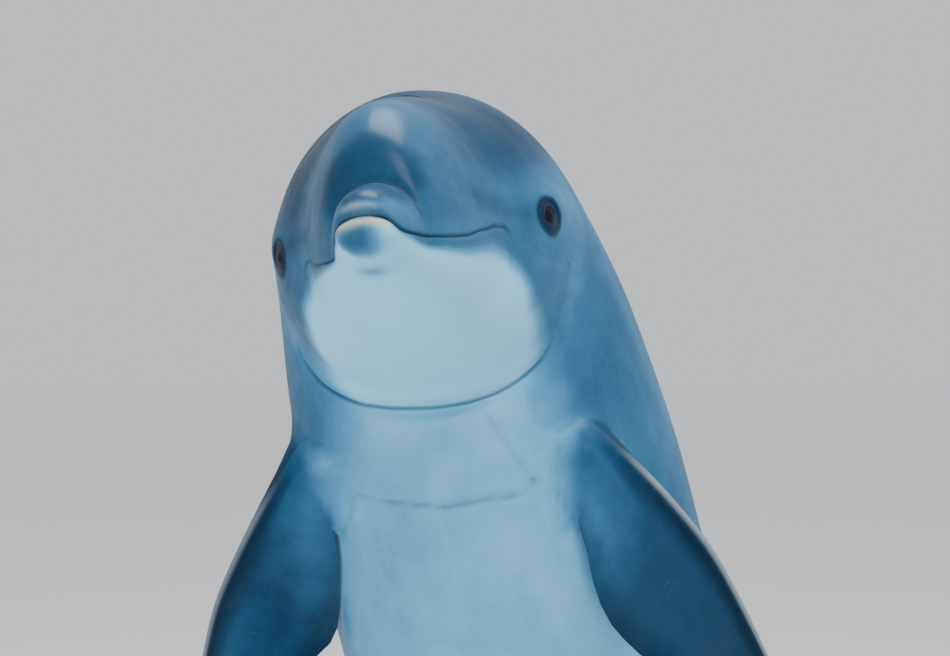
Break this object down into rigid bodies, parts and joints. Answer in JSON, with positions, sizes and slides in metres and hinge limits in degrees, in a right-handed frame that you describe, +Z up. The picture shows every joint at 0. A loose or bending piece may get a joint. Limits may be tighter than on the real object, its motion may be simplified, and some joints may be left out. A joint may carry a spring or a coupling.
{
  "type": "bottlenose dolphin model on a display stand",
  "caption": "Life-size bottlenose dolphin in an upright, bent pose with the head level, held by a flat base and short rods under the tail stock.",
  "frame": {"origin": "on the floor under the middle of the model's box, in the plane of the base plate's underside", "axes": "+Z up; the animal's face looks along -Y and its left side is towards +X"},
  "size_m": [0.9922, 1.6384, 1.7927],
  "materials": {
    "body_skin": "smooth wet-looking grey skin, paler down the sides and near white on throat and belly",
    "throat_skin": "smooth wet-looking pale skin",
    "fin_skin": "smooth dark slate skin",
    "eye": "polished dark brown, wet",
    "stand_lacquer": "satin pale grey lacquer",
    "stand_steel": "brushed",
    "stand_rubber": "matt black"
  },
  "bodies": {
    "root": {"head": "body_skin", "lower_jaw": "throat_skin", "neck": "body_skin", "trunk_front": "body_skin", "trunk_rear": "body_skin", "tail_stock": "body_skin", "dorsal_fin": "fin_skin", "flipper_left": "fin_skin", "flipper_right": "fin_skin", "fluke_left": "fin_skin", "fluke_right": "fin_skin", "eye_left": "eye", "eye_right": "eye", "stand_base": "stand_lacquer", "stand_socket_front": "stand_steel", "stand_socket_rear": "stand_steel", "stand_rod_front": "stand_steel", "stand_rod_rear": "stand_steel", "stand_saddle_front": "stand_rubber", "stand_saddle_rear": "stand_rubber"}
  },
  "joints": []
}
